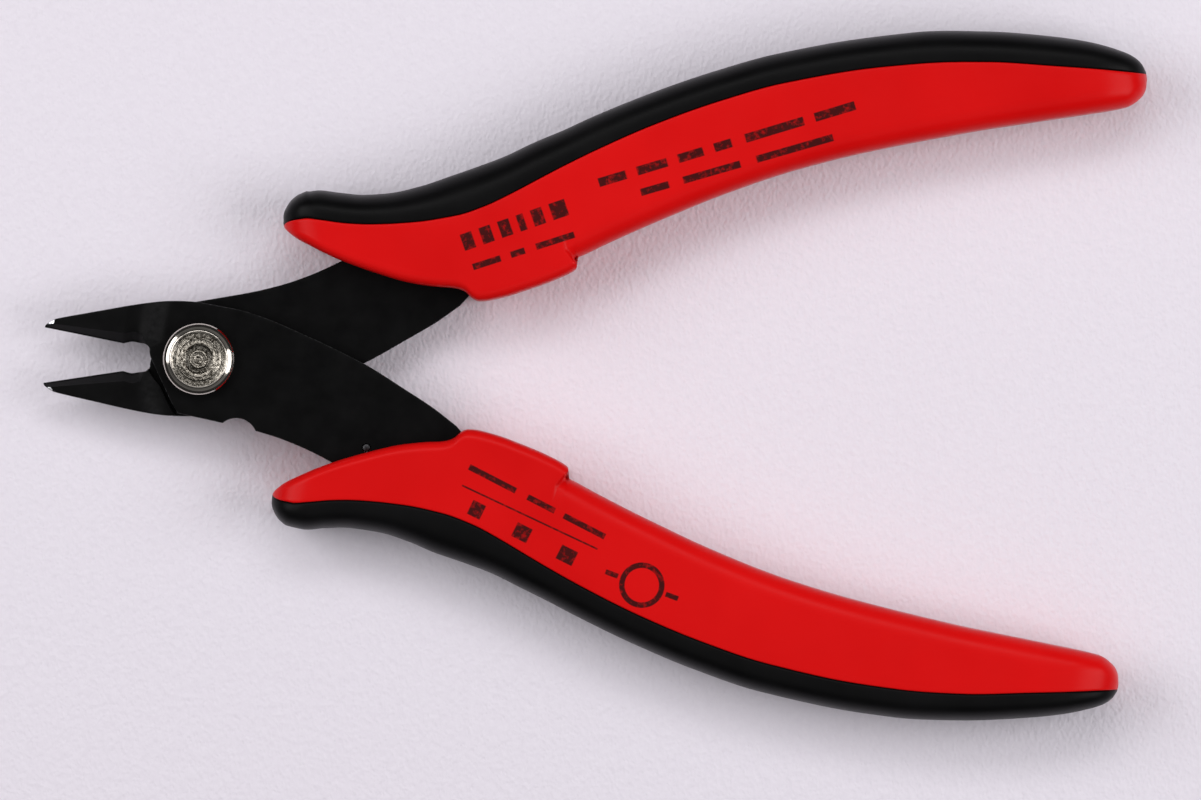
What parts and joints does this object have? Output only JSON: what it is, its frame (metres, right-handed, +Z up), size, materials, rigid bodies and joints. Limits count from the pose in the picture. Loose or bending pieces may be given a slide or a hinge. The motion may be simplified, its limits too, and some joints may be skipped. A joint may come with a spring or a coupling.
{
  "type": "flush cutter",
  "caption": "Hand flush cutter for electronics: crossed black steel halves on a bright pivot stud, hairpin return spring behind, curved grips of hard red plastic with a soft black back strip.",
  "frame": {"origin": "centre of the footprint with the halves fully open, on the plane that the grips' undersides rest on", "axes": "+X along the tool from the jaws towards the handles, +Y across it towards the rear half's handle, +Z up out of the face that carries the stud's head"},
  "size_m": [0.1293, 0.0822, 0.011],
  "materials": {
    "blackened_steel": "matte black oxide, bare at the ground tips",
    "nickel_steel": "turned and nickel plated, satin",
    "spring_wire": "drawn spring wire, oiled",
    "red_plastic": "moulded, satin",
    "black_elastomer": "moulded soft elastomer, satin"
  },
  "bodies": {
    "rear_half": {"rear_blade": "blackened_steel", "pivot_stud": "nickel_steel", "pivot_collar": "nickel_steel", "return_spring": "spring_wire", "upper_grip_body": "red_plastic", "upper_grip_strip": "black_elastomer"},
    "front_half": {"front_blade": "blackened_steel", "lower_grip_body": "red_plastic", "lower_grip_strip": "black_elastomer"}
  },
  "joints": [
    {"name": "pivot", "type": "hinge", "parent": "rear_half", "child": "front_half", "pos_m": [-0.0463, 0, 0.0055], "axis": [0, 0, 1], "range_deg": [0, 20], "stiffness_Nm_per_rad": 0.36, "springref_deg": -6.88, "deforming": ["return_spring"]}
  ]
}
